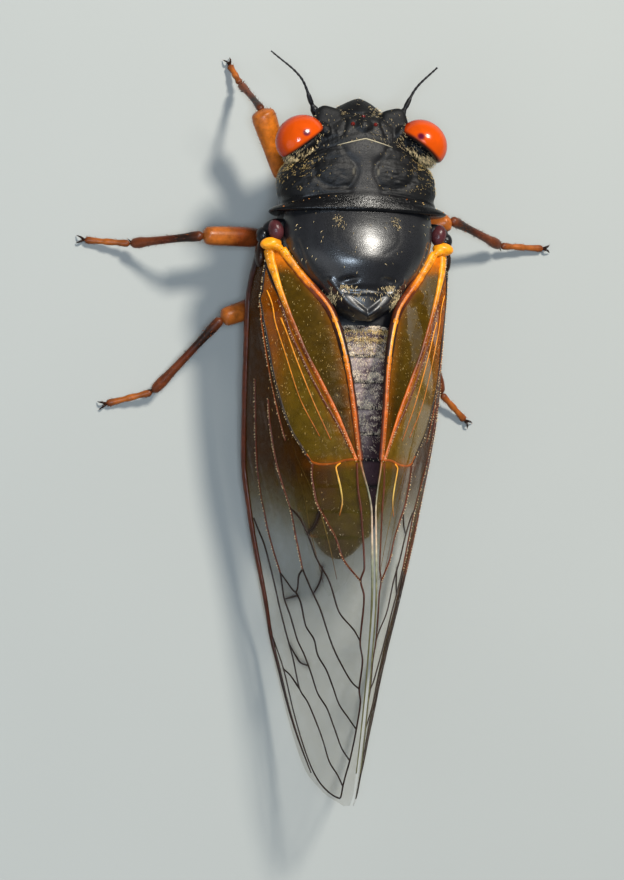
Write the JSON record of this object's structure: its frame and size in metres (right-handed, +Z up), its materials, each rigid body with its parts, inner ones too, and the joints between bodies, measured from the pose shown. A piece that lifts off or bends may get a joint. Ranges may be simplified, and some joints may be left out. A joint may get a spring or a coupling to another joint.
{
  "type": "periodical cicada",
  "caption": "Life-size still model of a periodical cicada standing with closed, roof-like veined wings, black body, red eyes and orange legs.",
  "frame": {"origin": "middle of the model's box on the ground under the feet", "axes": "+Z up, the head looks along -Y, the animal's left side is at +X"},
  "size_m": [0.0294, 0.044, 0.0112],
  "materials": {
    "shell_black": "satin black shell with a faint blue sheen and sparse golden hairs",
    "eye_red": "glossy red-orange compound eye",
    "leg_orange": "orange-brown shell, satin",
    "wing_membrane": "clear amber membrane with orange and dark brown veins"
  },
  "bodies": {
    "root": {"head": "shell_black", "eye_left": "eye_red", "eye_right": "eye_red", "antenna_left": "shell_black", "antenna_right": "shell_black", "beak": "shell_black", "pronotum": "shell_black", "thorax": "shell_black", "abdomen": "shell_black", "forewing_left": "wing_membrane", "forewing_right": "wing_membrane", "hindwing_left": "wing_membrane", "hindwing_right": "wing_membrane", "leg_front_left": "leg_orange", "leg_front_right": "leg_orange", "leg_mid_left": "leg_orange", "leg_mid_right": "leg_orange", "leg_hind_left": "leg_orange", "leg_hind_right": "leg_orange"}
  },
  "joints": []
}
